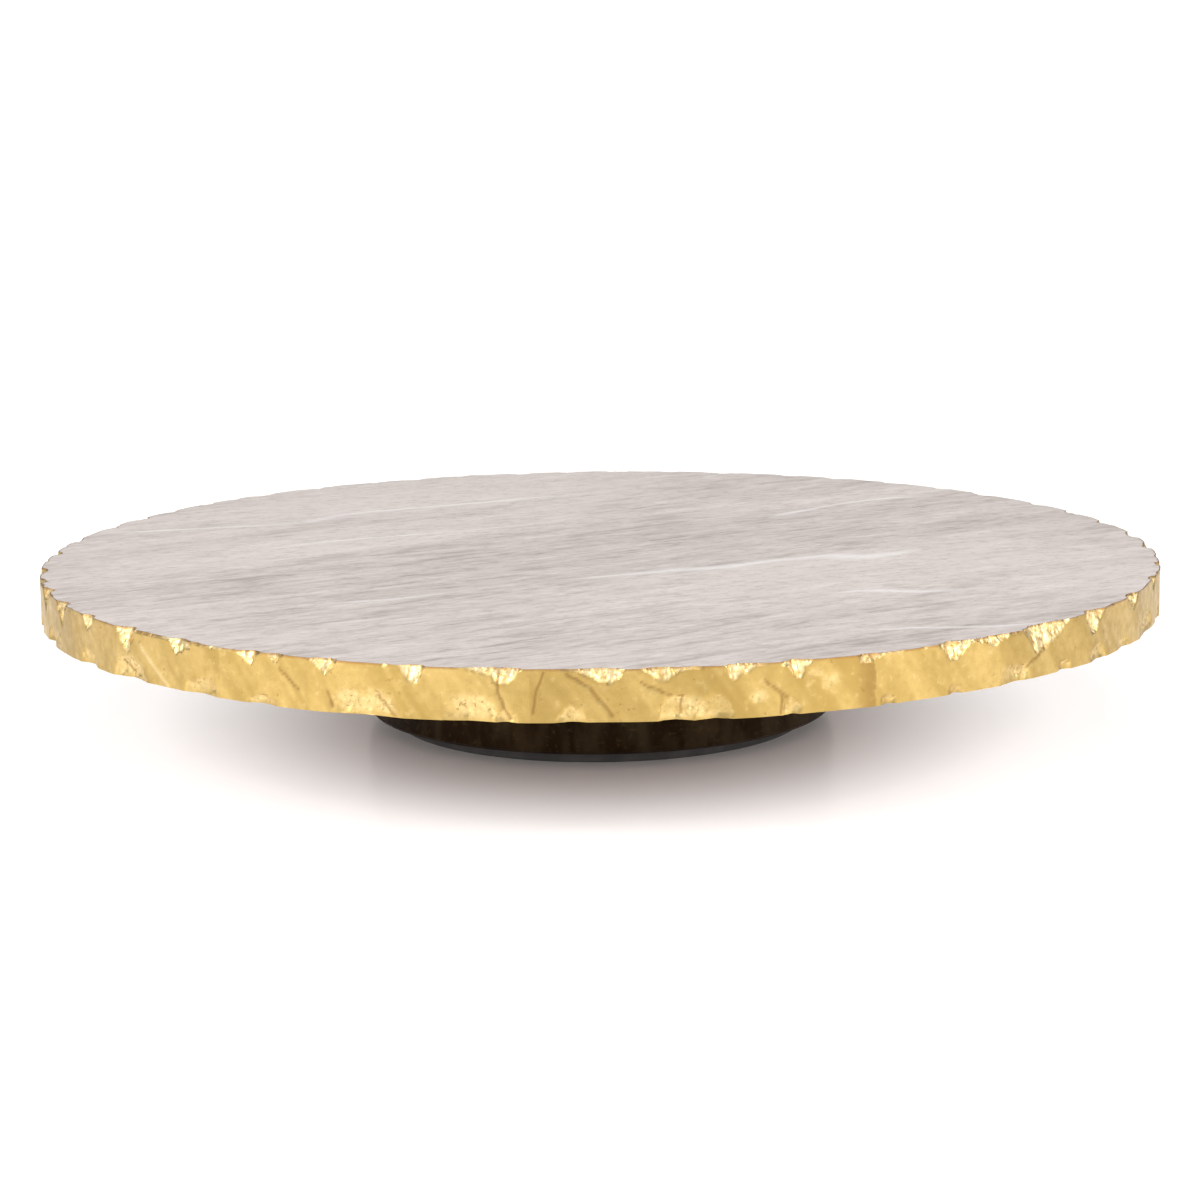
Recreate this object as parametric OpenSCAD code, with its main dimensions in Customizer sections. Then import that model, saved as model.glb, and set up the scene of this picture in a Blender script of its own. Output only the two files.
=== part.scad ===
// Lazy susan turntable: a round marble top with a gilded rim turns on an aluminium ring
// bearing, which is bolted to a round wooden base. Millimetres, +Z up. The origin is on the
// turning axis, at the underside of the rubber pad.

/* [Marble top] */
// Diameter over the gilded rim
top_d = 356; // [320:1:420]
// Thickness of the marble slab
slab_t = 15; // [12:0.5:25]
// Thickness of the gilding laid on the sawn rim
gilding_t = 0.4; // [0.2:0.1:1]

/* [Base] */
// Diameter of the turned wooden base
base_d = 150; // [150:1:220]
// Thickness of the turned wooden base
base_t = 24; // [20:0.5:40]
// Chamfer on the outer edges of the base
base_chamfer = 1; // [0.5:0.25:2]
// Diameter of the rubber pad under the base
pad_d = 132; // [118:1:146]
// Thickness of the rubber pad
pad_t = 4.5; // [2:0.5:6]

/* [Bearing] */
// Circle that the ball centres lie on
ball_pcd = 112; // [106:1:116]
// Diameter of a ball
ball_d = 5; // [4.5:0.1:5]
// Balls carried by one strip of the cage
balls_per_strip = 5; // [3:1:5]
// Height of each aluminium ring
ring_h = 8.5; // [8.5:0.25:12]
// Gap between each ring and the part that it turns past
ring_clear = 1; // [0.6:0.1:1.5]

/* [Fasteners] */
// Length of an M5 base screw under its head
base_screw_l = 20; // [18:1:21]
// Overall length of an M4 countersunk slab screw
slab_screw_l = 16; // [14:1:17]

/* [Hidden] */
$fn = 96;

// Heights of the stack, from the pad up
base_z = pad_t;
fixed_ring_z = base_z + base_t;
turning_ring_z = fixed_ring_z + ring_clear;
slab_z = turning_ring_z + ring_h;
ball_z = (turning_ring_z + fixed_ring_z + ring_h) / 2;

// Radii of the two rings, which face each other across the ball circle
ball_circle_r = ball_pcd / 2;
race_gap = 0.7;
fixed_ring_reach = 13;
turning_ring_reach = 14;
fixed_ring_in_r = ball_circle_r - fixed_ring_reach;
fixed_ring_out_r = ball_circle_r - race_gap;
turning_ring_in_r = ball_circle_r + race_gap;
turning_ring_out_r = ball_circle_r + turning_ring_reach;
ring_chamfer = 0.4;

// V groove at 45 degrees, with its bottom cut flat
ball_r = ball_d / 2;
groove_clear = 0.05;
groove_relief = 0.4;
groove_h = (ball_r + groove_clear) * sqrt(2);
groove_depth = ball_r + groove_relief;

// Cage strips: one to each quarter, with a gap where two of them meet
strip_count = 4;
ball_count = strip_count * balls_per_strip;
ball_step = 360 / ball_count;
strip_gap_angle = 3;
strip_t = 0.8;
strip_h = 7;
window_clear = 0.12;
window_r = ball_r + window_clear;

// Loading hole in the turning ring, where the balls go in
loading_clear = 0.1;
loading_hole_r = ball_r + loading_clear;
plug_clear = 0.02;
plug_recess = 0.2;
plug_angle = 90;

// Screws: four on each circle, the slab's turned half a step from the base's
screw_count = 4;
screw_step = 360 / screw_count;
thread_clear = 0.02;
tip_chamfer = 0.6;
base_screw_r = 2.5;
base_screw_inset = 7.5;
base_screw_circle_r = ball_circle_r - base_screw_inset;
button_r = 4.75;
button_h = 2.75;
button_flank_h = 0.5;
base_socket_af = 3;
socket_depth = 1.5;
washer_r = 5;
washer_t = 1;
washer_clear = 0.15;
base_hole_r = 2.75;
counterbore_r = 6;
grip = 12;
slab_screw_r = 2;
slab_screw_outset = 8;
slab_screw_circle_r = ball_circle_r + slab_screw_outset;
slab_screw_angle = screw_step / 2;
countersink_r = 4;
slab_hole_r = 2.2;
slab_socket_af = 2.5;

// Brass inserts bonded into blind holes in the slab
insert_r = 4;
insert_l = 9;
insert_bond_t = 0.05;
insert_end_gap = 0.5;
insert_hole_r = insert_r + insert_bond_t;
insert_hole_l = insert_l + insert_end_gap;
insert_groove_count = 2;
insert_groove_step = insert_l / (insert_groove_count + 1);
insert_groove_t = 0.4;
insert_groove_h = 1.2;

// Concentric grip grooves under the pad
pad_groove_count = 3;
pad_groove_step = pad_d / 8;
pad_groove_w = 2;
pad_groove_depth = 0.8;
pad_bevel = 0.5;

// Overshoot of a cutting solid past the face that it opens
cut = 0.1;

function strip_name(k) = str("cage_strip_", k);
function ball_name(k) = str("ball_", k < 10 ? "0" : "", k);

// Copies of the children on the base screws' circle
module at_base_screws() {
    for (k = [0:screw_count - 1])
        rotate([0, 0, k * screw_step])
            translate([base_screw_circle_r, 0, 0])
                children();
}

// Copies of the children on the slab screws' circle
module at_slab_screws() {
    for (k = [0:screw_count - 1])
        rotate([0, 0, slab_screw_angle + k * screw_step])
            translate([slab_screw_circle_r, 0, 0])
                children();
}

// Flat ring standing on z = 0
module tube(r_in, r_out, h) {
    difference() {
        cylinder(r = r_out, h = h);
        translate([0, 0, -cut])
            cylinder(r = r_in, h = h + 2 * cut);
    }
}

// Solid of revolution of a ring's section, with the same chamfer on its four edges
module chamfered_ring(r_in, r_out, h, c) {
    rotate_extrude()
        polygon([
            [r_in + c, 0], [r_out - c, 0], [r_out, c], [r_out, h - c],
            [r_out - c, h], [r_in + c, h], [r_in, h - c], [r_in, c]
        ]);
}

// Both rings' V grooves as one solid around the ball circle
module ball_track() {
    bottom_h = groove_h - groove_depth;
    translate([0, 0, ball_z])
        rotate_extrude()
            translate([ball_circle_r, 0])
                polygon([
                    [0, -groove_h], [groove_depth, -bottom_h], [groove_depth, bottom_h],
                    [0, groove_h], [-groove_depth, bottom_h], [-groove_depth, -bottom_h]
                ]);
}

// Cylinder that runs outwards from radius r_from, at ball height
module radial_pin(angle, r, r_from, length) {
    rotate([0, 0, angle])
        translate([r_from, 0, ball_z])
            rotate([0, 90, 0])
                cylinder(r = r, h = length);
}

// Blind hexagon socket, open downwards at z = 0
module hex_socket(across_flats) {
    translate([0, 0, -cut])
        cylinder(r = across_flats / sqrt(3), h = socket_depth + cut, $fn = 6);
}

// Threaded shank with a chamfered tip, from z = 0 up
module shank(r, length) {
    cylinder(r = r, h = length - tip_chamfer);
    translate([0, 0, length - tip_chamfer])
        cylinder(r1 = r, r2 = r - tip_chamfer, h = tip_chamfer);
}

// Button head screw that points up, with the seat of its head at z = 0
module button_screw() {
    cap_h = button_h - button_flank_h;
    cap_r = (button_r * button_r + cap_h * cap_h) / (2 * cap_h);
    difference() {
        union() {
            shank(base_screw_r, base_screw_l);
            translate([0, 0, -button_flank_h])
                cylinder(r = button_r, h = button_flank_h);
            intersection() {
                translate([0, 0, cap_r - button_h])
                    sphere(r = cap_r);
                translate([0, 0, -button_h])
                    cylinder(r = button_r, h = cap_h);
            }
        }
        translate([0, 0, -button_h])
            hex_socket(base_socket_af);
    }
}

// Countersunk screw that points up, with the flat of its head at z = 0
module countersunk_screw() {
    head_h = countersink_r - slab_screw_r;
    difference() {
        union() {
            cylinder(r1 = countersink_r, r2 = slab_screw_r, h = head_h);
            shank(slab_screw_r, slab_screw_l);
        }
        hex_socket(slab_socket_af);
    }
}

module anti_slip_pad() {
    color([0.13, 0.13, 0.14])
        difference() {
            union() {
                cylinder(r1 = pad_d / 2 - pad_bevel, r2 = pad_d / 2, h = pad_bevel);
                translate([0, 0, pad_bevel])
                    cylinder(r = pad_d / 2, h = pad_t - pad_bevel);
            }
            for (k = [1:pad_groove_count])
                translate([0, 0, -cut])
                    tube(
                        k * pad_groove_step, k * pad_groove_step + pad_groove_w,
                        pad_groove_depth + cut
                    );
        }
}

module base_disc() {
    color([0.17, 0.12, 0.09])
        difference() {
            translate([0, 0, base_z])
                rotate_extrude()
                    polygon([
                        [0, 0], [base_d / 2 - base_chamfer, 0], [base_d / 2, base_chamfer],
                        [base_d / 2, base_t - base_chamfer], [base_d / 2 - base_chamfer, base_t],
                        [0, base_t]
                    ]);
            at_base_screws() {
                translate([0, 0, base_z - cut])
                    cylinder(r = base_hole_r, h = base_t + 2 * cut);
                translate([0, 0, base_z - cut])
                    cylinder(r = counterbore_r, h = base_t - grip + cut);
            }
        }
}

module base_washers() {
    color([0.72, 0.72, 0.74])
        at_base_screws()
            translate([0, 0, fixed_ring_z - grip - washer_t])
                tube(base_screw_r + washer_clear, washer_r, washer_t);
}

module base_screws() {
    color([0.62, 0.62, 0.64])
        at_base_screws()
            translate([0, 0, fixed_ring_z - grip - washer_t])
                button_screw();
}

// Inner ring, bolted to the base
module fixed_ring() {
    color([0.80, 0.81, 0.83])
        difference() {
            translate([0, 0, fixed_ring_z])
                chamfered_ring(fixed_ring_in_r, fixed_ring_out_r, ring_h, ring_chamfer);
            ball_track();
            at_base_screws()
                translate([0, 0, fixed_ring_z - cut])
                    cylinder(r = base_screw_r + thread_clear, h = ring_h + 2 * cut);
        }
}

// Strip k of the cage, a curved band with a window for each of its balls
module cage_strip(k) {
    start = (k - 1) * 360 / strip_count;
    color([0.92, 0.91, 0.87])
        difference() {
            rotate([0, 0, start + strip_gap_angle / 2])
                rotate_extrude(angle = 360 / strip_count - strip_gap_angle)
                    translate([ball_circle_r - strip_t / 2, ball_z - strip_h / 2])
                        square([strip_t, strip_h]);
            for (i = [0:balls_per_strip - 1])
                radial_pin(start + (i + 0.5) * ball_step, window_r, ball_circle_r - strip_t, 2 * strip_t);
        }
}

module ball(k) {
    color([0.85, 0.86, 0.88])
        rotate([0, 0, (k - 0.5) * ball_step])
            translate([ball_circle_r, 0, ball_z])
                sphere(r = ball_r);
}

// Outer ring, screwed to the slab
module turning_ring() {
    sink_h = countersink_r - slab_hole_r;
    color([0.80, 0.81, 0.83])
        difference() {
            translate([0, 0, turning_ring_z])
                chamfered_ring(turning_ring_in_r, turning_ring_out_r, ring_h, ring_chamfer);
            ball_track();
            radial_pin(plug_angle, loading_hole_r, ball_circle_r, turning_ring_out_r);
            at_slab_screws()
                translate([0, 0, turning_ring_z]) {
                    translate([0, 0, -cut])
                        cylinder(r = slab_hole_r, h = ring_h + 2 * cut);
                    cylinder(r1 = countersink_r, r2 = slab_hole_r, h = sink_h);
                }
        }
}

// Plug that closes the loading hole, with the groove carried across its inner end
module loading_plug() {
    color([0.70, 0.71, 0.73])
        difference() {
            radial_pin(
                plug_angle, loading_hole_r - plug_clear, turning_ring_in_r,
                turning_ring_out_r - turning_ring_in_r - plug_recess
            );
            ball_track();
        }
}

module slab_screws() {
    color([0.62, 0.62, 0.64])
        at_slab_screws()
            translate([0, 0, turning_ring_z])
                countersunk_screw();
}

module slab_inserts() {
    color([0.80, 0.62, 0.30])
        at_slab_screws()
            translate([0, 0, slab_z])
                difference() {
                    tube(slab_screw_r + thread_clear, insert_r, insert_l);
                    for (k = [1:insert_groove_count])
                        translate([0, 0, k * insert_groove_step - insert_groove_h / 2])
                            tube(insert_r - insert_groove_t, insert_r + cut, insert_groove_h);
                }
}

module marble_slab() {
    color([0.83, 0.80, 0.79])
        difference() {
            translate([0, 0, slab_z])
                cylinder(r = top_d / 2 - gilding_t, h = slab_t);
            at_slab_screws()
                translate([0, 0, slab_z - cut])
                    cylinder(r = insert_hole_r, h = insert_hole_l + cut);
        }
}

module gold_edge() {
    color([0.88, 0.74, 0.43])
        translate([0, 0, slab_z])
            tube(top_d / 2 - gilding_t, top_d / 2, slab_t);
}

anti_slip_pad();
base_disc();
base_washers();
base_screws();
fixed_ring();
for (k = [1:strip_count]) cage_strip(k);
for (k = [1:ball_count]) ball(k);
turning_ring();
loading_plug();
slab_screws();
slab_inserts();
marble_slab();
gold_edge();
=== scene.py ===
"""Looks of the lazy susan turntable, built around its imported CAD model.

The marble slab and its gilding get detailed meshes that share one rim: sawn flats, sharp notches
along the top edge, and shell-shaped spalls along the bottom edge. The other CAD nodes keep their
shapes and get materials. Lengths are in metres, and in millimetres inside the rim's own functions.
"""
import math

import bpy
import numpy as np
from mathutils import Matrix, Vector


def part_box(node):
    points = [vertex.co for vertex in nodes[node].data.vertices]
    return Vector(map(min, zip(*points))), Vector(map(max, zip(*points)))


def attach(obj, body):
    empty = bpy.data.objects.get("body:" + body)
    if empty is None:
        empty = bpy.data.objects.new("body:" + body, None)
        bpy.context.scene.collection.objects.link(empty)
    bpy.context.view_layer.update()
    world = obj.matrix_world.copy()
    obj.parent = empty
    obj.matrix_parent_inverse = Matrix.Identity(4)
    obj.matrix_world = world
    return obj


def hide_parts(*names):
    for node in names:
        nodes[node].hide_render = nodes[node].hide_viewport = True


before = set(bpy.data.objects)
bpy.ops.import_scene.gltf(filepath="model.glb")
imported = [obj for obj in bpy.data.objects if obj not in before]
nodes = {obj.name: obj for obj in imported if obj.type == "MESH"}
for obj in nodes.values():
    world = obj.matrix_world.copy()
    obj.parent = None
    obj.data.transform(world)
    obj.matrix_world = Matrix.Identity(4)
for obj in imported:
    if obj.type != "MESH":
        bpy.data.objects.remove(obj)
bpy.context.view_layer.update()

MM = 0.001
TAU = 2 * math.pi

# The slab, from the CAD nodes
slab_low, slab_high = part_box("gold_edge")
SLAB_R = slab_high.x / MM
SLAB_Z = slab_low.z
SLAB_T = (slab_high.z - slab_low.z) / MM
TOP_Z = slab_high.z

# Columns round the rim, rows up its face, and rows up the gilding's hidden inner side
RIM_COLUMNS = 2800
RIM_ROWS = 25
INNER_ROWS = 5
# Thickness of the gilding on the rim and where it wraps under the bottom edge, the thin space
# between it and the stone, and the band in which each face of the slab eases towards its edge
GILDING = 0.28
LIP = 0.12
GLUE_GAP = 0.02
EASED_BAND = 5.0

# How far outlines stray from where they are listed: in long waves and in short ones
STRAY_LONG = 0.7
STRAY_SHORT = 0.35
# Relief of the sawn face: slow waves, ripples, slanted marks of the saw, and finer marks
WAVES = 0.16
RIPPLES = 0.05
SAW_MARKS = 0.05
FINE_SAW_MARKS = 0.015
# How far a saw mark leans along the rim for each mm of height
SAW_LEAN = 0.7
# Half width and depth of a crack, and half width and height of the seam
CRACK_HALF = 0.45
CRACK_DEPTH = 0.18
SEAM_HALF = 0.6
SEAM_RISE = 0.3
# A notch is flat inside where it would be deeper than this share of its listed depth
NOTCH_FLOOR = 0.85
# The step round a spall, and the depth from which it is fully rough
SPALL_STEP = 0.26
SPALL_ROUGH = 0.5
# Crystals show fully where this much broke off: their relief in large facets and small ones
CRYSTAL_FROM = 0.22
CRYSTAL_LARGE = 0.50
CRYSTAL_SMALL = 0.12
# The same relief on rough patches
ROUGH_LARGE = 0.24
ROUGH_SMALL = 0.26
# Sizes of the large and the small facets, and how far each kind tilts
LARGE_FACETS = (2.6, 0.7)
SMALL_FACETS = (1.4, 0.9)
# Every depth is less by this, which keeps the rim's foremost parts at the slab's full radius
FOREMOST = 0.25

# The angle of the clearest ridge between two flats of the sawn rim, in degrees
FIRST_RIDGE = 295.0
# The middle of the side in the photo, written like a listed feature
FRONT = [(270,)]

# Notches in the top edge that stand out: angle in degrees, width, height and depth in mm, and
# where the deepest point lies between the notch's left end (-1) and its right end (1)
TOP_NOTCHES = [
    (186, 12, 6, 2.2, 0.0), (197, 12, 7, 2.4, 0.0), (204.5, 10, 8, 2.4, 0.2),
    (212, 8, 5.5, 2.0, -0.1), (219.5, 11, 8, 2.6, 0.2),
    (228, 12, 5, 2.2, -0.2), (236.5, 9, 4, 1.8, 0.1), (239.5, 6, 2.2, 1.2, 0.0),
    (244.5, 8, 5, 2.0, 0.3), (253, 9, 6, 1.8, 0.2), (260.5, 16, 4.5, 1.6, 0.6),
    (270, 16, 4.5, 1.6, 0.2), (275.5, 13, 4, 1.8, 0.0), (282.5, 10, 4.5, 2.0, -0.6),
    (287.5, 9, 6, 2.4, 0.0), (294.5, 10, 3.2, 1.8, 0.0), (304, 14, 6, 2.2, -0.1),
    (308.5, 13, 3.2, 1.6, 0.0), (316, 23, 9, 2.8, -0.35), (324.5, 12, 8, 2.6, -0.5),
    (333.5, 10, 5.5, 2.2, 0.0), (343, 8, 5, 1.6, 0.0), (351, 7, 5, 1.4, 0.2),
]
# Spalls in the bottom edge that stand out: angle, width, height and depth
BOTTOM_SPALLS = [
    (200, 12, 5, 2.0), (212, 11, 4.5, 1.6), (220, 17, 6.5, 1.8), (230.5, 14, 5, 1.2),
    (238, 11, 3, 1.4), (248.5, 22, 8, 1.0), (258.5, 16, 7, 0.8), (261.5, 6, 3.5, 1.0),
    (267.5, 9, 4.5, 1.0), (276.5, 10, 7.5, 1.5), (280, 11, 7, 1.4), (287, 5, 5, 1.0),
    (296.5, 5, 2.5, 1.2), (304, 6, 3, 1.4), (311.5, 13, 5.5, 1.2), (319, 7, 3, 1.4),
    (325, 11, 4.5, 1.1), (331, 9, 3.5, 0.9), (339, 18, 7, 0.8), (346, 10, 4, 0.6),
    (352, 12, 6, 0.7), (359, 11, 5, 0.6),
]
# Rough patches on the face of the rim: angle, height of the middle, width and height of the patch
ROUGH_PATCHES = [
    (203, 3, 12, 5), (220, 4.5, 17, 8), (248.5, 4.5, 22, 9), (258.5, 4.5, 15, 9),
    (277, 4, 19, 8), (284, 5.5, 7, 5), (290, 9.5, 13, 8), (311, 3, 14, 6), (338, 5, 20, 12),
]
# Cracks: the angle and height of each point that a crack runs through
CRACKS = [
    ((245, 6.5), (245.5, 1.5)), ((250, 6), (251.5, 0.5)), ((261, 14), (261, 8.5), (262, 1)),
    ((265, 14), (264.5, 10), (264, 2.5)), ((267, 14), (269, 10), (271, 2)),
    ((273.5, 11), (276, 7.5)), ((277, 6), (277, 2)), ((219, 5), (220, 2)), ((240, 11), (242, 6)),
    ((284.5, 10), (286.5, 5)), ((286, 6), (286, 0.5)), ((316, 9), (313, 4)),
]
# A raised seam left by the saw
SEAM = ((222, 11), (226, 0.5))


# ---------------------------------------------------------------- the rim

def ring_noise(rng, theta, height, cells_round, cells_up):
    """Smooth noise from -1 to 1 that closes on itself round the rim."""
    values = rng.uniform(-1, 1, (cells_up + 2, cells_round))
    u = theta / TAU * cells_round
    v = np.clip(height / SLAB_T, 0, 1) * cells_up
    i, j = np.floor(u).astype(int), np.floor(v).astype(int)
    fu, fv = u - i, v - j
    fu, fv = fu * fu * (3 - 2 * fu), fv * fv * (3 - 2 * fv)
    left, right = i % cells_round, (i + 1) % cells_round
    low = values[j, left] * (1 - fu) + values[j, right] * fu
    high = values[j + 1, left] * (1 - fu) + values[j + 1, right] * fu
    return low * (1 - fv) + high * fv


def crystal_facets(rng, theta, height, size, steepness):
    """Small flat facets at random levels and tilts, like broken stone close up."""
    across = int(TAU * SLAB_R / size)
    up = int(SLAB_T / size) + 4
    centre_u = rng.uniform(0.1, 0.9, (up, across))
    centre_v = rng.uniform(0.1, 0.9, (up, across))
    level = rng.uniform(-0.5, 0.5, (up, across))
    tilt_u, tilt_v = rng.uniform(-steepness, steepness, (2, up, across))
    u, v = theta / TAU * across, height / size + 1.5
    i, j = np.floor(u).astype(int), np.floor(v).astype(int)
    nearest, value = np.full(u.shape, np.inf), np.zeros(u.shape)
    for dj in (-1, 0, 1):
        for di in (-1, 0, 1):
            row, column = np.clip(j + dj, 0, up - 1), (i + di) % across
            du = u - (i + di + centre_u[row, column])
            dv = v - (j + dj + centre_v[row, column])
            distance = du * du + dv * dv
            facet = level[row, column] + tilt_u[row, column] * du + tilt_v[row, column] * dv
            value = np.where(distance < nearest, facet, value)
            nearest = np.minimum(nearest, distance)
    return value


def arc_from(theta, centre_deg):
    """Signed distance along the rim from an angle, in mm."""
    turn = theta - math.radians(centre_deg)
    return ((turn + math.pi) % TAU - math.pi) * SLAB_R


def sawn_flats(rng, theta):
    """Depth and tone of the flats left where the disc was cut in short straight strokes.

    Flats are 24 to 48 mm long, except the last one, which ends where the first begins.
    """
    depth, tone = np.zeros(theta.shape), np.zeros(theta.shape)
    degrees = (np.degrees(theta) - FIRST_RIDGE) % 360
    start = 0.0
    while start < 360:
        length = rng.uniform(24, 48)
        end = start + math.degrees(length / SLAB_R)
        end = 360.0 if end > 354 else end
        sag = length ** 2 / (8 * SLAB_R) * rng.uniform(0.15, 0.55)
        part = (degrees - start) / (end - start)
        inside = (part >= 0) & (part < 1)
        depth += np.where(inside, 4 * sag * part * (1 - part), 0)
        level = rng.uniform(-0.5, 0.5)
        slope = rng.uniform(-0.6, 0.6)
        tone += np.where(inside, level + slope * (2 * part - 1), 0)
        start = end
    return depth, tone


def top_notch(theta, height, notch):
    """Depth of one V-shaped notch that is open to the top face."""
    angle, width, tall, deep, lean = notch
    x = arc_from(theta, angle) / (width / 2)
    y = np.clip(SLAB_T - height, 0, None) / tall
    right = (1 - x) / (1 - lean)
    left = (1 + x) / (1 + lean)
    return deep * np.clip(np.minimum(np.minimum(left, right), NOTCH_FLOOR) - y, 0, None)


def reach(theta, height, angle, middle, width, tall):
    """Distance from the middle of an oval on the rim, 1 at its outline."""
    return np.hypot(arc_from(theta, angle) / (width / 2), (height - middle) / (tall / 2))


def bottom_spall(theta, height, spall):
    """Depth of one shell-shaped scar, open to the bottom face and with a small step round it."""
    angle, width, tall, deep = spall
    away = reach(theta, height, angle, 0, width, 2 * tall)
    scar = np.clip(1 - away, 0, None)
    step = SPALL_STEP * np.clip(scar / 0.08, 0, 1) * np.clip(height / 2, 0, 1)
    return deep * scar ** 0.8 + step


def rough_patch(theta, height, patch):
    """Strength of one rough patch, 0 at its outline and 1 well inside."""
    return np.clip(1.6 * (1 - reach(theta, height, *patch)), 0, 1)


def line_distance(theta, height, start, end):
    """Distance in mm from a line between two points, each an angle and a height."""
    run = arc_from(math.radians(end[0]), start[0])
    rise = end[1] - start[1]
    x, y = arc_from(theta, start[0]), height - start[1]
    along = np.clip((x * run + y * rise) / (run ** 2 + rise ** 2), 0, 1)
    return np.hypot(x - along * run, y - along * rise)


def crack_line(theta, height, points):
    """Strength of one crack, 1 along the lines between its points."""
    away = [line_distance(theta, height, start, end) for start, end in zip(points, points[1:])]
    return np.exp(-(np.minimum.reduce(away) / CRACK_HALF) ** 2)


def strongest(shape, theta, height, features):
    """The greatest value that any one of the features has at each point."""
    found = np.zeros(theta.shape)
    for feature in features:
        found = np.maximum(found, shape(theta, height, feature))
    return found


def free_angles(rng, listed, shortest, longest, gap):
    """Random angles at least a gap, in degrees, away from everything listed."""
    taken = [feature[0] for feature in listed]
    found = []
    angle = 0.0
    while angle < 360:
        angle += rng.uniform(shortest, longest)
        if all(abs((angle - t + 180) % 360 - 180) > gap for t in taken):
            found.append(angle)
    return found


def all_notches(rng):
    """The listed notches, and random ones where none is listed."""
    notches = list(TOP_NOTCHES)
    for angle in free_angles(rng, TOP_NOTCHES, 4.5, 9, 5):
        size = rng.uniform(0.6, 1.25)
        notches.append((angle, 10 * size, 5 * size, 1.9 * size, rng.uniform(-0.5, 0.5)))
    return notches


def all_spalls(rng):
    """The listed spalls, and random ones where none is listed."""
    spalls = list(BOTTOM_SPALLS)
    for angle in free_angles(rng, BOTTOM_SPALLS, 5, 10, 6):
        size = rng.uniform(0.5, 1.3)
        spalls.append((angle, 13 * size, 5 * size, 1.4 * size))
    return spalls


def all_cracks(rng):
    """The listed cracks, and random ones on the side away from the photo."""
    cracks = list(CRACKS)
    for angle in free_angles(rng, FRONT, 8, 20, 85):
        top, fall = rng.uniform(7, 14), rng.uniform(3, 9)
        end = (angle + rng.uniform(-0.5, 2.5), max(top - fall, 0.5))
        cracks.append(((angle, top), end))
    return cracks


def all_patches(rng):
    """The listed rough patches, and random ones on the side away from the photo."""
    patches = list(ROUGH_PATCHES)
    for angle in free_angles(rng, FRONT, 8, 22, 80):
        wide, tall = rng.uniform(10, 22), rng.uniform(5, 11)
        patches.append((angle, rng.uniform(3, 9), wide, tall))
    return patches


def rim_grid():
    """Angles and heights of the grid's points, with rows closer together near both edges."""
    columns = np.arange(RIM_COLUMNS) * TAU / RIM_COLUMNS
    step = np.arange(RIM_ROWS) / (RIM_ROWS - 1)
    rows = SLAB_T * (0.6 * step + 0.2 * (1 - np.cos(math.pi * step)))
    return np.meshgrid(columns, rows)


def stray(rng, theta, height):
    """How far outlines stray at each point, so that no feature looks drawn."""
    long_waves = ring_noise(rng, theta, height, 520, 7)
    short_waves = ring_noise(rng, theta, height, 1100, 15)
    return STRAY_LONG * long_waves + STRAY_SHORT * short_waves


def sawn_face(rng, theta, height):
    """Depth and tone of the face that the saw left, before anything broke off."""
    depth, tone = sawn_flats(rng, theta)
    depth += WAVES * (1 + ring_noise(rng, theta, height, 80, 1))
    depth += RIPPLES * (1 + ring_noise(rng, theta, height, 240, 4))
    slant = (theta + SAW_LEAN * height / SLAB_R) % TAU
    marks = ring_noise(rng, slant, 0 * height, 150, 0)
    fine_marks = ring_noise(rng, slant, 0.3 * height, 600, 2)
    depth += SAW_MARKS * (1 + marks) + FINE_SAW_MARKS * fine_marks
    return depth, 0.15 * tone + 0.32 * marks + 0.16 * fine_marks


def nibbled_edge(rng, theta, height):
    """Depth of the small nibbles along the top edge between the notches."""
    nibbled = np.clip(ring_noise(rng, theta, height, 260, 1) - 0.15, 0, 1)
    return 0.5 * nibbled * np.clip(1 - (SLAB_T - height) / 0.8, 0, 1)


def roughness_of(rng, theta, height, patches, scars):
    """Where the stone is rough: in blotches within the patches, and over the scars."""
    blotches = np.clip(0.6 + 1.2 * ring_noise(rng, theta, height, 300, 5), 0, 1)
    over_scars = np.clip(scars / SPALL_ROUGH, 0, 1) * (0.35 + 0.5 * blotches)
    return np.clip(patches * blotches + over_scars, 0, 1) * np.clip(height / 1.5, 0, 1)


def worn_edges(rng, columns, height, scars):
    """Change of height: the top edge is a little worn, and the bottom one is broken away."""
    top_drop = 0.12 + 0.1 * ring_noise(rng, columns, 0 * columns, 160, 0)
    bottom_lift = 0.2 + 0.2 * ring_noise(rng, columns, 0 * columns, 48, 0)
    bottom_lift += 0.12 * scars[0]
    lift = np.clip(1 - height / 6, 0, 1) * bottom_lift
    drop = np.clip(1 - (SLAB_T - height) / 3, 0, 1) * top_drop
    return lift - drop


def painted_ridge_shade(theta):
    """Painted shade on the gilding beside the clearest ridge, and fainter painted shade over the
    flat there.
    """
    beside = arc_from(theta, FIRST_RIDGE)
    near = np.clip(1.3 + beside / 5, 0, 1) * np.clip(0.5 - beside / 0.6, 0, 1)
    over_flat = np.clip(1 + beside / 50, 0, 1) * (beside < 0)
    return near, over_flat


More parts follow.
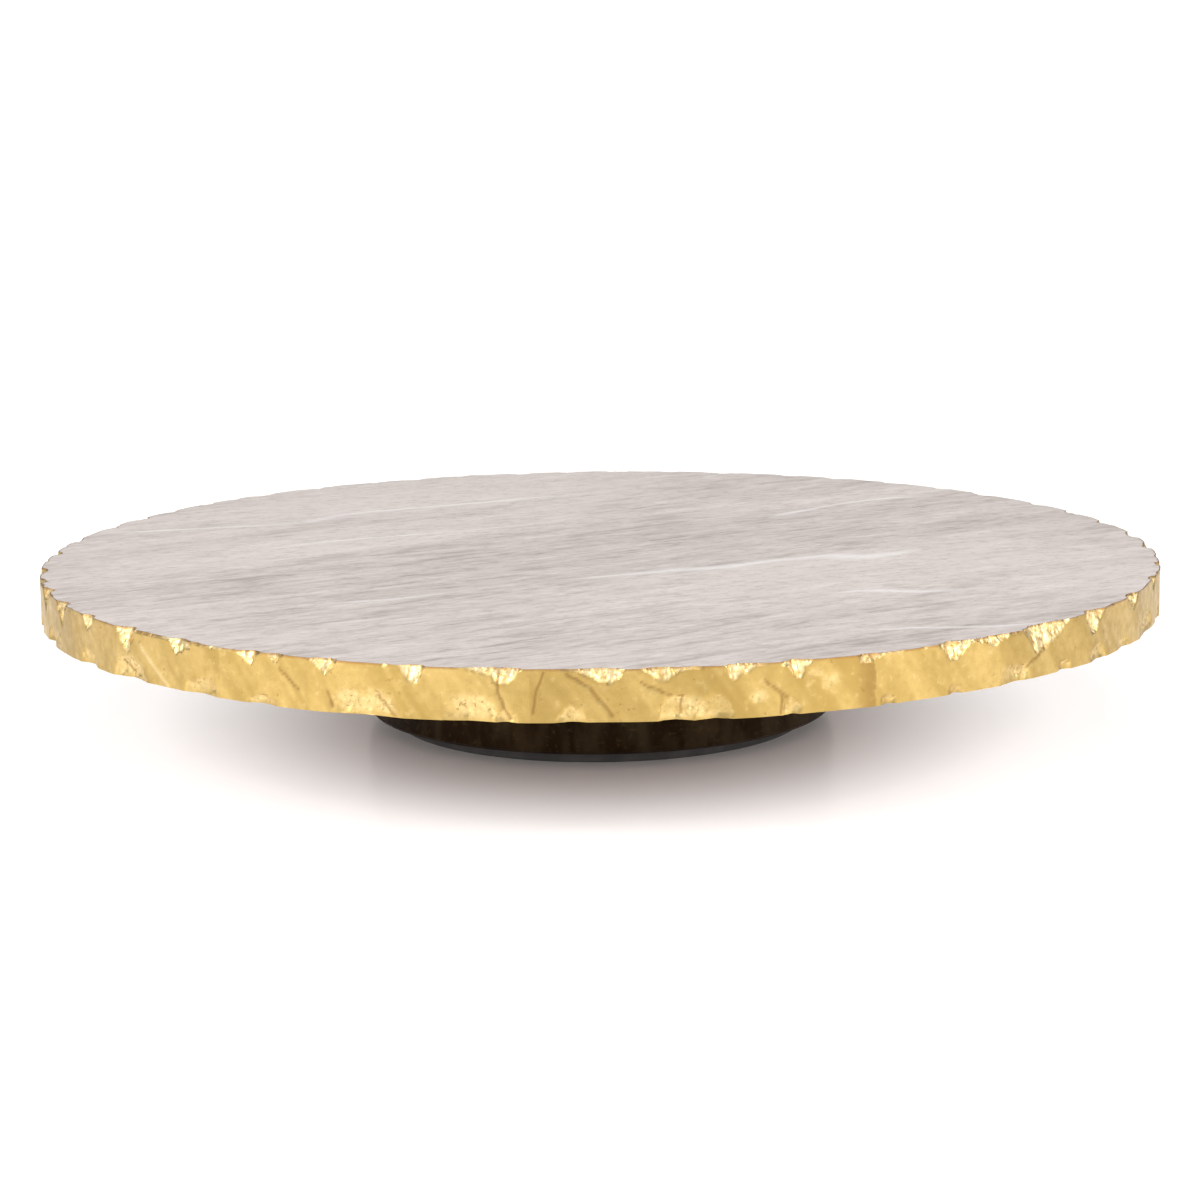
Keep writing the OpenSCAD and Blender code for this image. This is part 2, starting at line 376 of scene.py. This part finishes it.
def rim_surface():
    """The rim as a grid: angles, heights, depths, and what the gilding's material needs."""
    rng = np.random.default_rng(11)
    theta, height = rim_grid()
    aside = stray(rng, theta, height)
    above = stray(rng, theta, height)
    strayed = (theta + aside / SLAB_R) % TAU, height + above
    strayed_less = (theta + 0.4 * aside / SLAB_R) % TAU, height + 0.4 * above

    depth, tone = sawn_face(rng, theta, height)
    notches = strongest(top_notch, *strayed, all_notches(rng))
    scars = strongest(bottom_spall, *strayed, all_spalls(rng))
    patches = strongest(rough_patch, *strayed, all_patches(rng))
    broken = np.maximum(notches, nibbled_edge(rng, theta, height))
    crack = strongest(crack_line, *strayed_less, all_cracks(rng))
    seam = np.exp(-(line_distance(theta, height, *SEAM) / SEAM_HALF) ** 2)

    crystal = np.clip(broken / CRYSTAL_FROM, 0, 1) * np.clip(0.3 + height / 2, 0, 1)
    rough = roughness_of(rng, theta, height, patches, scars)
    large = crystal_facets(rng, theta, height, *LARGE_FACETS)
    small = crystal_facets(rng, theta, height, *SMALL_FACETS)
    depth += broken + scars
    depth += crystal * (CRYSTAL_LARGE * (0.6 + large) + CRYSTAL_SMALL * small)
    depth += rough * (ROUGH_LARGE * (0.7 + large) + ROUGH_SMALL * small)
    depth += CRACK_DEPTH * crack - SEAM_RISE * seam
    depth = np.clip(depth - FOREMOST, 0, None)

    shade, faint_shade = painted_ridge_shade(strayed[0])
    marks = {
        # The chips and the seam get a cream colour from this mark, which is partly painted
        # highlight.
        "broken": np.maximum(crystal, 0.6 * seam),
        "rough": rough,
        # The crack mark carries the cracks and also the painted shade beside the clearest ridge.
        "crack": np.maximum(crack, 0.75 * shade),
        # The tone mark is the flats' own tone, less the painted shade over the flat beside that
        # ridge.
        "tone": np.clip(0.55 + tone - 0.55 * faint_shade, 0, 1),
    }
    return theta[0], height + worn_edges(rng, theta[0], height, scars), depth, marks


def ring_points(columns, radius, z):
    """Points round the axis, from radii and heights in mm over the slab's underside."""
    radius, z = np.broadcast_arrays(radius, z)
    return np.stack([
        radius * MM * np.cos(columns), radius * MM * np.sin(columns), SLAB_Z + z * MM,
    ], axis=-1)


def ring_strips(row_count):
    """Quads between each ring of points and the next, facing outwards where rings go up."""
    start = np.arange(row_count - 1)[:, None] * RIM_COLUMNS
    here = np.arange(RIM_COLUMNS)[None, :]
    there = (here + 1) % RIM_COLUMNS
    above = start + RIM_COLUMNS
    quads = [start + here, start + there, above + there, above + here]
    return np.stack(quads, -1).reshape(-1, 4).tolist()


def mesh_object(name, points, faces, sharp_deg):
    """A smooth-shaded object, with edges sharp above an angle."""
    mesh = bpy.data.meshes.new(name)
    mesh.from_pydata(points.tolist(), [], faces)
    mesh.validate()
    mesh.polygons.foreach_set("use_smooth", np.ones(len(mesh.polygons), bool))
    mesh.set_sharp_from_angle(angle=math.radians(sharp_deg))
    mesh.update()
    piece = bpy.data.objects.new(name, mesh)
    bpy.context.scene.collection.objects.link(piece)
    return piece


def inner_rim(rim_z, rim_depth):
    """Radius and height of the gilding's hidden inner side, on a few rows only.

    Each row lies behind the deepest point between its neighbours, so it never comes through.
    """
    picks = np.linspace(0, RIM_ROWS - 1, INNER_ROWS).round().astype(int)
    radius = []
    for k in range(INNER_ROWS):
        low = picks[max(k - 1, 0)]
        high = picks[min(k + 1, INNER_ROWS - 1)]
        radius.append(SLAB_R - rim_depth[low:high + 1].max(axis=0) - GILDING)
    z = rim_z[picks].copy()
    z[0] += LIP
    return np.array(radius), z


def lip_rings(edge_r, edge_z, shares, over=0.0):
    """Rings on a face of the slab, from its flat part out towards its edge."""
    inside = SLAB_R - EASED_BAND
    radius = [inside + (edge_r - inside) * share for share in shares]
    z = [edge_z * share ** 2 + over for share in shares]
    return np.array(radius), np.array(z)


def make_gilding(columns, rim_z, rim_depth, marks):
    """Closed skin over the rim: detailed outside, plain inside, wrapped under the edge."""
    under_r, under_z = lip_rings(SLAB_R - rim_depth[0], rim_z[0], (0.0, 0.5))
    inner_r, inner_z = inner_rim(rim_z, rim_depth)
    over_r, over_z = lip_rings(inner_r[0], inner_z[0] - LIP, (0.0, 0.5), LIP)
    radius = np.concatenate([under_r, SLAB_R - rim_depth, inner_r[::-1], over_r[::-1]])
    z = np.concatenate([under_z, rim_z, inner_z[::-1], over_z[::-1]])
    points = ring_points(columns, radius, z).reshape(-1, 3)
    faces = ring_strips(len(radius))
    last = (len(radius) - 1) * RIM_COLUMNS
    for k in range(RIM_COLUMNS):
        following = (k + 1) % RIM_COLUMNS
        faces.append([last + k, last + following, following, k])
    piece = mesh_object("slab_gilding", points, faces, sharp_deg=32)

    first = len(under_r) * RIM_COLUMNS
    for name, values in marks.items():
        amount = np.zeros(len(points), np.float32)
        amount[first:first + values.size] = values.reshape(-1)
        piece.data.attributes.new(name, "FLOAT", "POINT").data.foreach_set("value", amount)
    return piece


def make_slab(columns, rim_z, rim_depth):
    """Closed stone slab inside the gilding, with flat faces that ease towards the rim."""
    wall_r, wall_z = inner_rim(rim_z, rim_depth)
    wall_r = wall_r - GLUE_GAP
    wall_z[0] += GLUE_GAP
    flat_r = SLAB_R - EASED_BAND
    step = LIP + GLUE_GAP
    step_r, step_z = lip_rings(wall_r[0], wall_z[0] - step, (0.0, 0.5), step)
    step_r = step_r - GLUE_GAP
    over_r, over_z = lip_rings(wall_r[-1], wall_z[-1] - SLAB_T, (0.0, 0.5, 0.8), SLAB_T)
    bottom = np.full((1, RIM_COLUMNS), flat_r - GLUE_GAP)
    radius = np.concatenate([bottom, step_r, wall_r, over_r[::-1]])
    z = np.concatenate([0 * bottom, step_z, wall_z, over_z[::-1]])
    rings = ring_points(columns, radius, z).reshape(-1, 3)
    points = np.concatenate([rings, [[0, 0, SLAB_Z], [0, 0, TOP_Z]]])
    faces = ring_strips(len(radius))
    middle_low, middle_high = len(rings), len(rings) + 1
    last = (len(radius) - 1) * RIM_COLUMNS
    for k in range(RIM_COLUMNS):
        following = (k + 1) % RIM_COLUMNS
        faces.append([middle_low, following, k])
        faces.append([middle_high, last + k, last + following])
    return mesh_object("slab_stone", points, faces, sharp_deg=20)


# ---------------------------------------------------------------- node helpers

class Nodes:
    """Short ways to add nodes to one tree."""

    def __init__(self, tree):
        self.tree = tree

    def add(self, kind, inputs=None, **settings):
        node = self.tree.nodes.new(kind)
        for key, value in settings.items():
            setattr(node, key, value)
        for key, value in (inputs or {}).items():
            self.feed(node.inputs[key], value)
        return node

    def feed(self, socket, value):
        if isinstance(value, bpy.types.NodeSocket):
            self.tree.links.new(value, socket)
        else:
            socket.default_value = value

    def math(self, operation, a, b=0.0):
        return self.add("ShaderNodeMath", {0: a, 1: b}, operation=operation).outputs[0]

    def vector(self, operation, a, b):
        return self.add("ShaderNodeVectorMath", {0: a, 1: b}, operation=operation).outputs[0]

    def length(self, vector):
        node = self.add("ShaderNodeVectorMath", {0: vector}, operation="LENGTH")
        return node.outputs["Value"]

    def axis(self, vector, name):
        return self.add("ShaderNodeSeparateXYZ", {0: vector}).outputs[name]

    def range(self, value, low, high, to_low=0.0, to_high=1.0):
        """Smooth step from one value to another, as the first goes from low to high."""
        node = self.add("ShaderNodeMapRange", {
            "Value": value, "From Min": low, "From Max": high, "To Min": to_low, "To Max": to_high,
        }, interpolation_type="SMOOTHSTEP")
        return node.outputs["Result"]


class Looks(Nodes):
    """One material and the few patterns that the materials here share."""

    def __init__(self, name):
        self.material = bpy.data.materials.new(name)
        self.material.use_nodes = True
        super().__init__(self.material.node_tree)
        self.bsdf = self.tree.nodes["Principled BSDF"]
        self.place = self.add("ShaderNodeTexCoord").outputs["Object"]

    def set(self, **values):
        """Principled sockets by name, with _ for each space."""
        for key, value in values.items():
            self.feed(self.bsdf.inputs[key.replace("_", " ")], value)

    def mark(self, name):
        """One of the values that the rim's mesh carries at its points."""
        return self.add("ShaderNodeAttribute", attribute_name=name).outputs["Fac"]

    def mapped(self, place, turn=(0, 0, 0), scale=(1, 1, 1)):
        """Coordinates turned first and then scaled, so patterns can run along any direction."""
        turned = self.add("ShaderNodeMapping", {"Vector": place, "Rotation": turn}).outputs[0]
        return self.add("ShaderNodeMapping", {"Vector": turned, "Scale": scale}).outputs[0]

    def noise(self, place, scale, detail, roughness=0.5):
        return self.add("ShaderNodeTexNoise", {
            "Vector": place, "Scale": scale, "Detail": detail, "Roughness": roughness,
        }).outputs["Fac"]

    def mix(self, amount, a, b):
        """A mix of two colours, which a Mix node takes at its sockets 6 and 7."""
        node = self.add("ShaderNodeMix", data_type="RGBA")
        self.feed(node.inputs[0], amount)
        self.feed(node.inputs[6], colour(a))
        self.feed(node.inputs[7], colour(b))
        return node.outputs[2]

    def blend(self, tone, new, amount, share):
        """A tone with a share of a new colour, where the amount is 1."""
        return self.mix(self.math("MULTIPLY", amount, share), tone, new)

    def bump(self, height, distance, strength, normal=None):
        inputs = {"Height": height, "Distance": distance, "Strength": strength}
        node = self.add("ShaderNodeBump", inputs)
        if normal is not None:
            self.tree.links.new(normal, node.inputs["Normal"])
        return node.outputs[0]


def colour(value):
    """A colour triple gets its alpha, and a socket passes through."""
    return (*value, 1.0) if isinstance(value, tuple) and len(value) == 3 else value


# ---------------------------------------------------------------- materials

# Base colours, as linear red, green and blue
MARBLE_GREY = (0.515, 0.462, 0.438)
MARBLE_PALE = (0.605, 0.546, 0.517)
MARBLE_DARK = (0.28, 0.24, 0.22)
MARBLE_LIGHT = (0.71, 0.66, 0.635)
MARBLE_VEIN = (0.80, 0.79, 0.78)
GOLD_DEEP = (0.43, 0.288, 0.086)
GOLD_WARM = (0.60, 0.420, 0.148)
GOLD_LIGHT = (0.86, 0.68, 0.34)
# Cream of the chips: partly their own lighter colour, partly painted highlight
GOLD_CREAM_AND_HIGHLIGHT = (0.90, 0.74, 0.42)
GOLD_ORANGE = (0.74, 0.44, 0.125)
# Rust brown for specks and cracks, also used for painted shade beside the clearest ridge
GOLD_RUST_AND_SHADE = (0.26, 0.145, 0.045)
GOLD_LINE = (0.38, 0.20, 0.065)
WOOD_BLACK = (0.0085, 0.0036, 0.0011)
WOOD_BROWN = (0.022, 0.0108, 0.0036)
WOOD_BLOTCH = (0.048, 0.032, 0.016)
WOOD_FLECK = (0.085, 0.058, 0.026)
# Lighter brown for the painted reflection streaks on the base
WOOD_PAINTED_REFLECTION = (0.055, 0.039, 0.021)
WOOD_GLOSS = (1.0, 0.78, 0.58)
RUBBER_CLEAN = (0.075, 0.070, 0.070)
RUBBER_DUSTY = (0.105, 0.098, 0.097)
RING_ALUMINIUM = (0.62, 0.63, 0.65)
PLUG_ALUMINIUM = (0.68, 0.69, 0.71)
ZINC_STEEL = (0.62, 0.64, 0.67)
BALL_STEEL = (0.78, 0.79, 0.81)
INSERT_BRASS = (0.78, 0.56, 0.24)
NYLON_SHADED = (0.72, 0.70, 0.63)
NYLON_LIGHT = (0.80, 0.78, 0.72)
# Warmer, darker floor colour near the object: painted reflection of the dark base, and painted
# shade
FLOOR_PAINTED_REFLECTION = (0.84, 0.73, 0.69)
FLOOR_AWAY = (0.87, 0.84, 0.83)

# The directions of the marble's veins and of its fine grain, in degrees about Z
VEINS_TURN = -32
GRAIN_TURN = -22
# White veins to a metre across their direction, and how many spacings they sway by
VEINS_PER_M = 17.0
VEIN_SWAY = 2.4
# Turned metal: rings to a metre of radius
RINGS_PER_M = 2600.0


def marble_veins(look, place, turn):
    """Thin white lines, each present only over parts of its length."""
    across = look.axis(look.mapped(place, turn), "Y")
    sway = look.noise(look.mapped(place, turn, (5, 9, 9)), 1.0, 2, 0.45)
    sway = look.math("MULTIPLY", sway, VEIN_SWAY)
    lines = look.math("ADD", look.math("MULTIPLY", across, VEINS_PER_M), sway)
    ridge = look.math("ABSOLUTE", look.math("SUBTRACT", look.math("FRACT", lines), 0.5))
    present = look.noise(look.mapped(place, turn, (7, 30, 30)), 1.0, 1)
    return look.math("MULTIPLY", look.range(ridge, 0.045, 0.0), look.range(present, 0.46, 0.62))


def warped_place(look):
    """The material's own coordinates, bent slightly so that no streak runs quite straight."""
    warp = look.add("ShaderNodeTexNoise", {"Vector": look.place, "Scale": 6.0, "Detail": 1.0})
    shift = look.vector("SUBTRACT", warp.outputs["Color"], (0.5, 0.5, 0.5))
    shift = look.vector("MULTIPLY", shift, (0.0, 0.016, 0.0))
    return look.vector("ADD", look.place, shift)


def marble():
    """Pale greige marble: fine straight grain, darker streaks and thin white veins."""
    look = Looks("marble")
    turn = (0, 0, math.radians(VEINS_TURN))
    grain_turn = (0, 0, math.radians(GRAIN_TURN))
    place = warped_place(look)
    bands = look.noise(look.mapped(place, turn, (4, 26, 26)), 1.0, 2)
    streaks = look.noise(look.mapped(place, turn, (40, 200, 200)), 1.0, 3, 0.6)
    dashes = look.noise(look.mapped(place, turn, (55, 480, 480)), 1.0, 3, 0.6)
    grain = look.noise(look.mapped(look.place, grain_turn, (170, 520, 520)), 1.0, 4, 0.7)
    specks = look.noise(look.mapped(look.place, grain_turn, (300, 1000, 1000)), 1.0, 2, 0.6)

    dark = look.math("MULTIPLY", look.range(streaks, 0.50, 0.72), look.range(bands, 0.75, 0.35))
    dash = look.math("MULTIPLY", look.range(dashes, 0.57, 0.70), look.range(bands, 0.62, 0.42))
    tone = look.mix(look.range(bands, 0.3, 0.7), MARBLE_GREY, MARBLE_PALE)
    tone = look.blend(tone, MARBLE_DARK, dark, 0.55)
    tone = look.blend(tone, MARBLE_LIGHT, look.range(streaks, 0.48, 0.28), 0.4)
    tone = look.blend(tone, MARBLE_DARK, look.range(grain, 0.48, 0.72), 0.42)
    tone = look.blend(tone, MARBLE_LIGHT, look.range(grain, 0.46, 0.30), 0.30)
    tone = look.blend(tone, MARBLE_DARK, look.range(specks, 0.58, 0.70), 0.45)
    tone = look.blend(tone, MARBLE_DARK, dash, 0.6)
    tone = look.blend(tone, MARBLE_VEIN, marble_veins(look, place, turn), 0.5)
    look.set(
        Base_Color=tone,
        Roughness=look.range(grain, 0.3, 0.7, 0.56, 0.66),
        Specular_IOR_Level=0.06,
        Normal=look.bump(grain, 0.00005, 0.5),
    )
    return look.material


def gold_tone(look, cloud, mottle, broken, rough):
    """The gilding's colour: cloudy on the flats, flecked on rough patches, and cream on chips,
    partly as painted highlight.
    """
    shade = look.noise(look.place, 700.0, 2)
    speckle = look.noise(look.place, 800.0, 3, 0.65)
    specks = look.range(look.noise(look.place, 520.0, 2), 0.68, 0.76)
    # The tone mark carries painted shade over the flat beside the clearest ridge.
    flats = look.math("MULTIPLY", look.mark("tone"), 0.7)
    amount = look.math("ADD", flats, look.math("MULTIPLY", cloud, 0.5))
    speckled = look.math("MULTIPLY", look.range(speckle, 0.55, 0.68), rough)
    flecked = look.math("MULTIPLY", look.range(speckle, 0.45, 0.34), rough)
    shaded = look.math("MULTIPLY", look.range(shade, 0.50, 0.62), broken)
    top_line = look.range(look.axis(look.place, "Z"), TOP_Z - 0.0009, TOP_Z - 0.0003)
    top_line = look.math("MULTIPLY", top_line, look.range(cloud, 0.36, 0.52))

    tone = look.mix(look.range(amount, 0.30, 0.90), GOLD_DEEP, GOLD_WARM)
    tone = look.blend(tone, GOLD_DEEP, look.range(mottle, 0.46, 0.72), 0.40)
    tone = look.blend(tone, GOLD_LIGHT, look.range(mottle, 0.44, 0.28), 0.20)
    tone = look.blend(tone, GOLD_LIGHT, rough, 0.42)
    tone = look.blend(tone, GOLD_RUST_AND_SHADE, speckled, 0.7)
    tone = look.blend(tone, GOLD_LIGHT, flecked, 0.5)
    # Cream on chips and the seam: partly their own lighter colour, partly painted highlight.
    tone = look.blend(tone, GOLD_CREAM_AND_HIGHLIGHT, broken, 0.8)
    tone = look.blend(tone, GOLD_ORANGE, shaded, 0.7)
    tone = look.blend(tone, GOLD_RUST_AND_SHADE, specks, 0.45)
    # The crack mark also holds painted shade beside the clearest ridge, so this paints that shade
    # too.
    tone = look.blend(tone, GOLD_RUST_AND_SHADE, look.mark("crack"), 0.75)
    return look.blend(tone, GOLD_LINE, top_line, 0.7)


def gold_leaf():
    """Satin gilding over sawn stone, sharp where the stone is broken, and bright there partly from
    painted highlight.
    """
    look = Looks("gold_leaf")
    broken = look.mark("broken")
    rough = look.mark("rough")
    cloud = look.noise(look.place, 75.0, 3, 0.55)
    mottle = look.noise(look.place, 340.0, 4, 0.6)
    fine = look.noise(look.place, 1700.0, 3, 0.6)
    crystals = look.add("ShaderNodeTexVoronoi", {"Vector": look.place, "Scale": 750.0})
    where = look.math("ADD", broken, look.math("MULTIPLY", rough, 0.5))
    sharp = look.math("MULTIPLY", crystals.outputs["Distance"], where)
    normal = look.bump(sharp, 0.0004, 0.4)
    normal = look.bump(mottle, 0.0004, 0.3, normal)
    normal = look.bump(fine, 0.00008, 0.6, normal)
    satin = look.range(mottle, 0.3, 0.7, 0.34, 0.46)
    look.set(
        Base_Color=gold_tone(look, cloud, mottle, broken, rough),
        Metallic=1.0,
        Roughness=look.math("ADD", satin, look.math("MULTIPLY", broken, 0.04)),
        Normal=normal,
    )
    return look.material


def dark_wood():
    """Near-black brown stain on a turned disc, under a satin lacquer, with painted reflection in
    upright streaks.
    """
    look = Looks("dark_wood")
    growth = look.noise(look.mapped(look.place, scale=(10, 70, 70)), 1.0, 4, 0.6)
    pores = look.noise(look.mapped(look.place, scale=(160, 1600, 1600)), 1.0, 2)
    blotch = look.noise(look.mapped(look.place, scale=(1, 1, 0.5)), 90.0, 3, 0.6)
    # Painted reflection: lighter streaks drawn out upright, as bars of light on the disc's side.
    reflection_streaks = look.noise(look.mapped(look.place, scale=(1, 1, 0.12)), 120.0, 2)
    flecks = look.noise(look.place, 520.0, 4, 0.6)
    tone = look.mix(look.range(growth, 0.3, 0.7), WOOD_BLACK, WOOD_BROWN)
    tone = look.blend(tone, WOOD_BLOTCH, look.range(blotch, 0.45, 0.7), 0.7)
    tone = look.blend(tone, WOOD_FLECK, look.range(flecks, 0.54, 0.7), 0.3)
    tone = look.blend(tone, WOOD_PAINTED_REFLECTION, look.range(reflection_streaks, 0.52, 0.72), 0.5)
    look.set(
        Base_Color=tone,
        Roughness=look.range(blotch, 0.3, 0.7, 0.34, 0.46),
        Specular_IOR_Level=0.05,
        Specular_Tint=colour(WOOD_GLOSS),
        Normal=look.bump(pores, 0.00006, 0.5),
    )
    return look.material


def moulded_rubber():
    """Matt dark grey rubber with a fine moulded grain."""
    look = Looks("rubber")
    grain = look.noise(look.place, 2200.0, 2)
    dust = look.noise(look.place, 90.0, 3)
    tone = look.mix(look.range(dust, 0.35, 0.7), RUBBER_CLEAN, RUBBER_DUSTY)
    look.set(Base_Color=tone, Roughness=0.75, Normal=look.bump(grain, 0.00008, 0.6))
    return look.material


def turned_metal(name, base, roughness):
    """Metal turned on a lathe: fine rings about the object's axis."""
    look = Looks(name)
    radius = look.length(look.vector("MULTIPLY", look.place, (1, 1, 0)))
    rings = look.math("SINE", look.math("MULTIPLY", radius, RINGS_PER_M * TAU))
    haze = look.noise(look.place, 140.0, 3)
    tone = look.mix(look.range(haze, 0.3, 0.7), tuple(0.86 * c for c in base), base)
    look.set(
        Base_Color=tone,
        Metallic=1.0,
        Roughness=look.range(haze, 0.3, 0.7, roughness, roughness + 0.1),
        Normal=look.bump(rings, 0.00002, 0.5),
    )
    return look.material


def plated_metal(name, base, roughness):
    """Plated or polished metal with a faint uneven haze."""
    look = Looks(name)
    haze = look.noise(look.place, 300.0, 4, 0.6)
    scuffs = look.noise(look.place, 1800.0, 2)
    tone = look.mix(look.range(haze, 0.3, 0.7), tuple(0.84 * c for c in base), base)
    look.set(
        Base_Color=tone,
        Metallic=1.0,
        Roughness=look.range(haze, 0.3, 0.7, roughness, roughness + 0.09),
        Normal=look.bump(scuffs, 0.00001, 0.4),
    )
    return look.material


def natural_nylon():
    """Milky moulded nylon."""
    look = Looks("nylon")
    cloud = look.noise(look.place, 160.0, 3)
    look.set(
        Base_Color=look.mix(look.range(cloud, 0.3, 0.7), NYLON_SHADED, NYLON_LIGHT),
        Roughness=0.42,
        Subsurface_Weight=0.15,
        Subsurface_Scale=0.002,
        Normal=look.bump(cloud, 0.00005, 0.4),
    )
    return look.material


def dress(material, *names):
    """Gives CAD nodes a material."""
    for name in names:
        node = nodes[name]
        node.data.materials.clear()
        node.data.materials.append(material)


# ---------------------------------------------------------------- the object

def build_slab():
    """The stone and its gilding, riding on the turntable in place of their plain CAD nodes."""
    columns, rim_z, rim_depth, marks = rim_surface()
    stone = make_slab(columns, rim_z, rim_depth)
    gilding = make_gilding(columns, rim_z, rim_depth, marks)
    stone.data.materials.append(marble())
    gilding.data.materials.append(gold_leaf())
    hand_over = ((stone, "marble_slab", "marble"), (gilding, "gold_edge", "gold_leaf"))
    for piece, node, slot in hand_over:
        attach(piece, "turntable")
        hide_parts(node)


def dress_cad_nodes():
    """Materials for the CAD nodes that keep their shapes."""
    balls = [name for name in nodes if name.startswith("ball_")]
    strips = [name for name in nodes if name.startswith("cage_strip_")]
    dress(dark_wood(), "base_disc")
    dress(moulded_rubber(), "anti_slip_pad")
    dress(turned_metal("ring_aluminium", RING_ALUMINIUM, 0.28), "fixed_ring", "turning_ring")
    dress(turned_metal("plug_aluminium", PLUG_ALUMINIUM, 0.34), "loading_plug")
    zinc_steel = plated_metal("zinc_steel", ZINC_STEEL, 0.26)
    dress(zinc_steel, "base_screws", "base_washers", "slab_screws")
    dress(plated_metal("ball_steel", BALL_STEEL, 0.07), *balls)
    dress(plated_metal("insert_brass", INSERT_BRASS, 0.24), "slab_inserts")
    dress(natural_nylon(), *strips)


# ---------------------------------------------------------------- the room

# The camera: its distance, and how far below the top face it aims, in radii of the top; how
# far it looks down and how far it rolls, in degrees; and its lens in mm
CAMERA_DISTANCE = 6
CAMERA_AIM = 0.0846
CAMERA_DOWN = 10.03
CAMERA_ROLL = -0.64
CAMERA_LENS = 99.6

# Area lights: name, place, size in m and power in W. They all face the middle of the object.
MIDDLE = (0, 0, 0.03)
SOFTBOXES = [
    ("overhead", (0, -0.3, 1.4), (1.3, 1.0), 6.3),
    ("left_softbox", (-1.3, -1.1, 1.0), (0.5, 0.8), 14),
    ("right_softbox", (1.3, -1.1, 0.9), (0.5, 0.8), 12),
    ("rear_left_softbox", (-1.2, 1.2, 1.3), (0.5, 0.6), 1.2),
    ("rear_right_softbox", (1.2, 1.2, 1.3), (0.5, 0.6), 1.2),
]

# Brightness of the surroundings as a light: at the back and the middle, and at the front's sides
WORLD_DIM = 0.30
WORLD_BRIGHT = 1.3

# Half the side of the floor
FLOOR_HALF = 30.0


def facing(place, target):
    """A placement at one point, looking at another."""
    place = Vector(place)
    turn = (Vector(target) - place).to_track_quat("-Z", "Y").to_matrix().to_4x4()
    return Matrix.Translation(place) @ turn


def add_camera():
    """Long lens a little above the rim."""
    radius = SLAB_R * MM
    down = math.radians(CAMERA_DOWN)
    distance = CAMERA_DISTANCE * radius
    eye = (0, -distance * math.cos(down), TOP_Z + distance * math.sin(down))
    target = (0, 0, TOP_Z - CAMERA_AIM * radius)
    camera = bpy.data.objects.new("camera", bpy.data.cameras.new("camera"))
    camera.data.sensor_width = 36
    camera.data.lens = CAMERA_LENS
    camera.data.clip_end = 50
    roll = Matrix.Rotation(math.radians(CAMERA_ROLL), 4, "Z")
    camera.matrix_world = facing(eye, target) @ roll
    bpy.context.scene.collection.objects.link(camera)
    bpy.context.scene.camera = camera


def add_softbox(name, place, size, power):
    """One rectangular light that faces the middle of the object."""
    light = bpy.data.lights.new(name, "AREA")
    light.shape = "RECTANGLE"
    light.size, light.size_y = size
    light.energy = power
    lamp = bpy.data.objects.new(name, light)
    lamp.matrix_world = facing(place, MIDDLE)
    bpy.context.scene.collection.objects.link(lamp)


def floor_material():
    """Pale and glossy, with painted light: an emitted glow that grows away from the object so its
    shadow stays pale, and a painted reflection of the base near it.
    """
    look = Looks("floor")
    away = look.length(look.mapped(look.place, scale=(1.15, 1, 1)))
    # Painted light: emission that keeps the shadow round the object pale, starting sooner at the
    # sides than in front.
    glow = look.range(away, 0.07, 0.175, 0.07, 0.45)
    far_glow = look.range(away, 0.5, 3.0, 0.0, 0.2)
    look.set(
        # Painted reflection of the dark base and painted shade: a warmer, darker colour near the
        # object.
        Base_Color=look.mix(look.range(away, 0.06, 0.13), FLOOR_PAINTED_REFLECTION, FLOOR_AWAY),
        Roughness=0.24,
        Specular_IOR_Level=0.5,
        Emission_Color=(1, 1, 1, 1),
        Emission_Strength=look.math("ADD", glow, far_glow),
    )
    return look.material


def add_floor():
    """One large square under the object."""
    mesh = bpy.data.meshes.new("floor")
    low, high = -FLOOR_HALF, FLOOR_HALF
    corners = [(low, low, 0), (high, low, 0), (high, high, 0), (low, high, 0)]
    mesh.from_pydata(corners, [], [(0, 1, 2, 3)])
    floor = bpy.data.objects.new("floor", mesh)
    mesh.materials.append(floor_material())
    bpy.context.scene.collection.objects.link(floor)


def add_world():
    """White to look at; as light, bright at the front's two sides and dimmer elsewhere."""
    world = bpy.data.worlds.new("studio")
    bpy.context.scene.world = world
    world.use_nodes = True
    sky = Nodes(world.node_tree)
    background = world.node_tree.nodes["Background"]
    direction = sky.add("ShaderNodeTexCoord").outputs["Generated"]
    front = sky.range(sky.axis(direction, "Y"), 0.4, -0.3)
    aside = sky.range(sky.math("ABSOLUTE", sky.axis(direction, "X")), 0.1, 0.7, 0.35, 1.0)
    light = sky.math("MULTIPLY", front, aside)
    light = sky.range(light, 0.0, 1.0, WORLD_DIM, WORLD_BRIGHT)
    seen = sky.add("ShaderNodeLightPath").outputs["Is Camera Ray"]
    strength = sky.add("ShaderNodeMix", {0: seen, 2: light, 3: 1.0}).outputs[0]
    sky.feed(background.inputs["Color"], (1, 1, 1, 1))
    sky.feed(background.inputs["Strength"], strength)


def add_room():
    """Pale surroundings, soft lights and the floor."""
    bpy.context.scene.view_settings.view_transform = "Standard"
    add_world()
    for softbox in SOFTBOXES:
        add_softbox(*softbox)
    add_floor()


build_slab()
dress_cad_nodes()
add_camera()
add_room()
